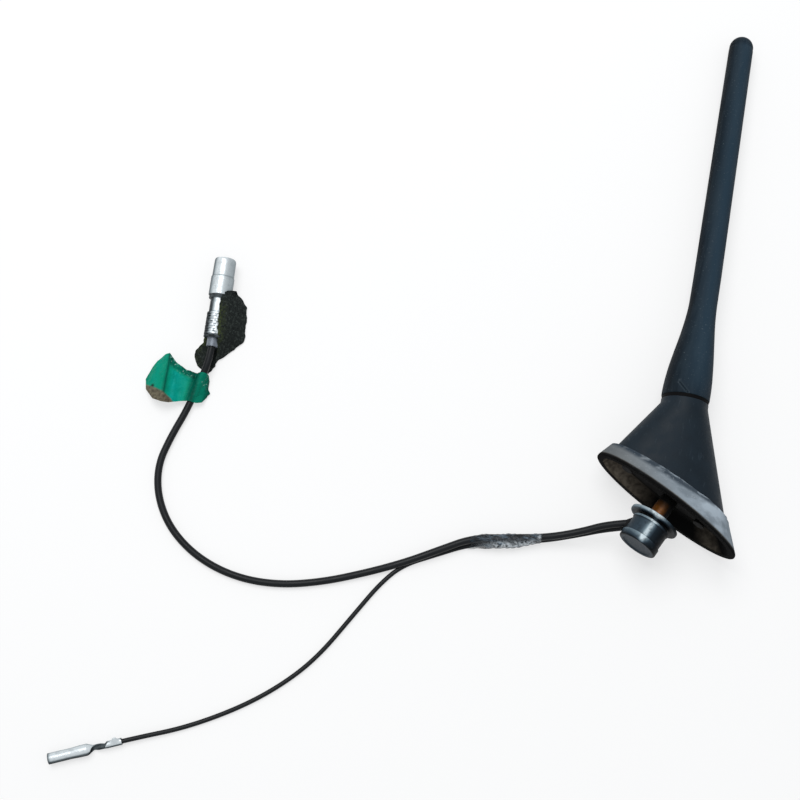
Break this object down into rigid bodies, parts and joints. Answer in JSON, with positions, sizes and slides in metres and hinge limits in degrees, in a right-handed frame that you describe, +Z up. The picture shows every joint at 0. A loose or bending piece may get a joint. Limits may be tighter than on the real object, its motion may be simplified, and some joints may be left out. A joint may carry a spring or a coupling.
{
  "type": "roof antenna",
  "caption": "Car roof antenna taken off its roof and lying on its side: raked rubber mast screwed to an oval foot with a hollow fixing stud, a coaxial lead and a feed wire.",
  "frame": {"origin": "on the table, under the middle of the antenna's bounding box, leads left out", "axes": "+Z up from the table; +Y along the mast as seen from above, foot to tip; the antenna lies on the rim of its foot and the tip of its mast, with its right-hand side up"},
  "size_m": [0.2723, 0.3994, 0.036],
  "materials": {
    "sheath_rubber": "matte, scuffed",
    "glass_fibre": "drawn rod",
    "copper_wire": "enamelled wire",
    "brass": "turned",
    "seal_rubber": "matte",
    "passivated_brass": "yellow passivated",
    "cover_plastic": "fine grain",
    "plate_metal": "black coat",
    "zinc_steel": "zinc plated",
    "board": "solder resist",
    "tinned_steel": "tinned",
    "skirt_rubber": "worn and chalky",
    "lead_jacket": "satin jacket",
    "clear_tape": "crinkled film",
    "green_tape": "creased tape",
    "felt": "napped",
    "plug_nickel": "nickel plated",
    "insulator": "moulded"
  },
  "bodies": {
    "foot": {"amplifier_board": "board", "base_cover": "cover_plastic", "base_plate": "plate_metal", "base_screws": "plate_metal", "coax_cable": "lead_jacket", "feed_strap": "brass", "feed_wire": "lead_jacket", "felt_wrap": "felt", "lead_boot": "seal_rubber", "marker_flag": "green_tape", "mast_socket": "brass", "mounting_stud": "zinc_steel", "plug_body": "plug_nickel", "plug_ferrule": "tinned_steel", "plug_insulator": "insulator", "plug_pin": "brass", "plug_shell": "plug_nickel", "roof_seal": "skirt_rubber", "shield_can": "tinned_steel", "stud_bush": "passivated_brass", "tape_wrap": "clear_tape", "wire_terminal": "tinned_steel"},
    "mast_carrier": {"mast_seal_ring": "seal_rubber"},
    "mast": {"mast_sheath": "sheath_rubber", "mast_rod": "glass_fibre", "mast_winding": "copper_wire", "mast_ferrule": "brass"}
  },
  "joints": [
    {"name": "mast_rise", "type": "slide", "parent": "foot", "child": "mast_carrier", "axis": [0, 0.9986, -0.0528], "range_m": [0, 0.008]},
    {"name": "mast_turn", "type": "hinge", "parent": "mast_carrier", "child": "mast", "pos_m": [0.00118, -0.05719, 0.01533], "axis": [0, 0.9986, -0.0528], "range_deg": [0, 3600]}
  ],
  "couplings": [
    {"joint": "mast_turn", "follows": "mast_rise", "rad_per_m": 7854}
  ]
}
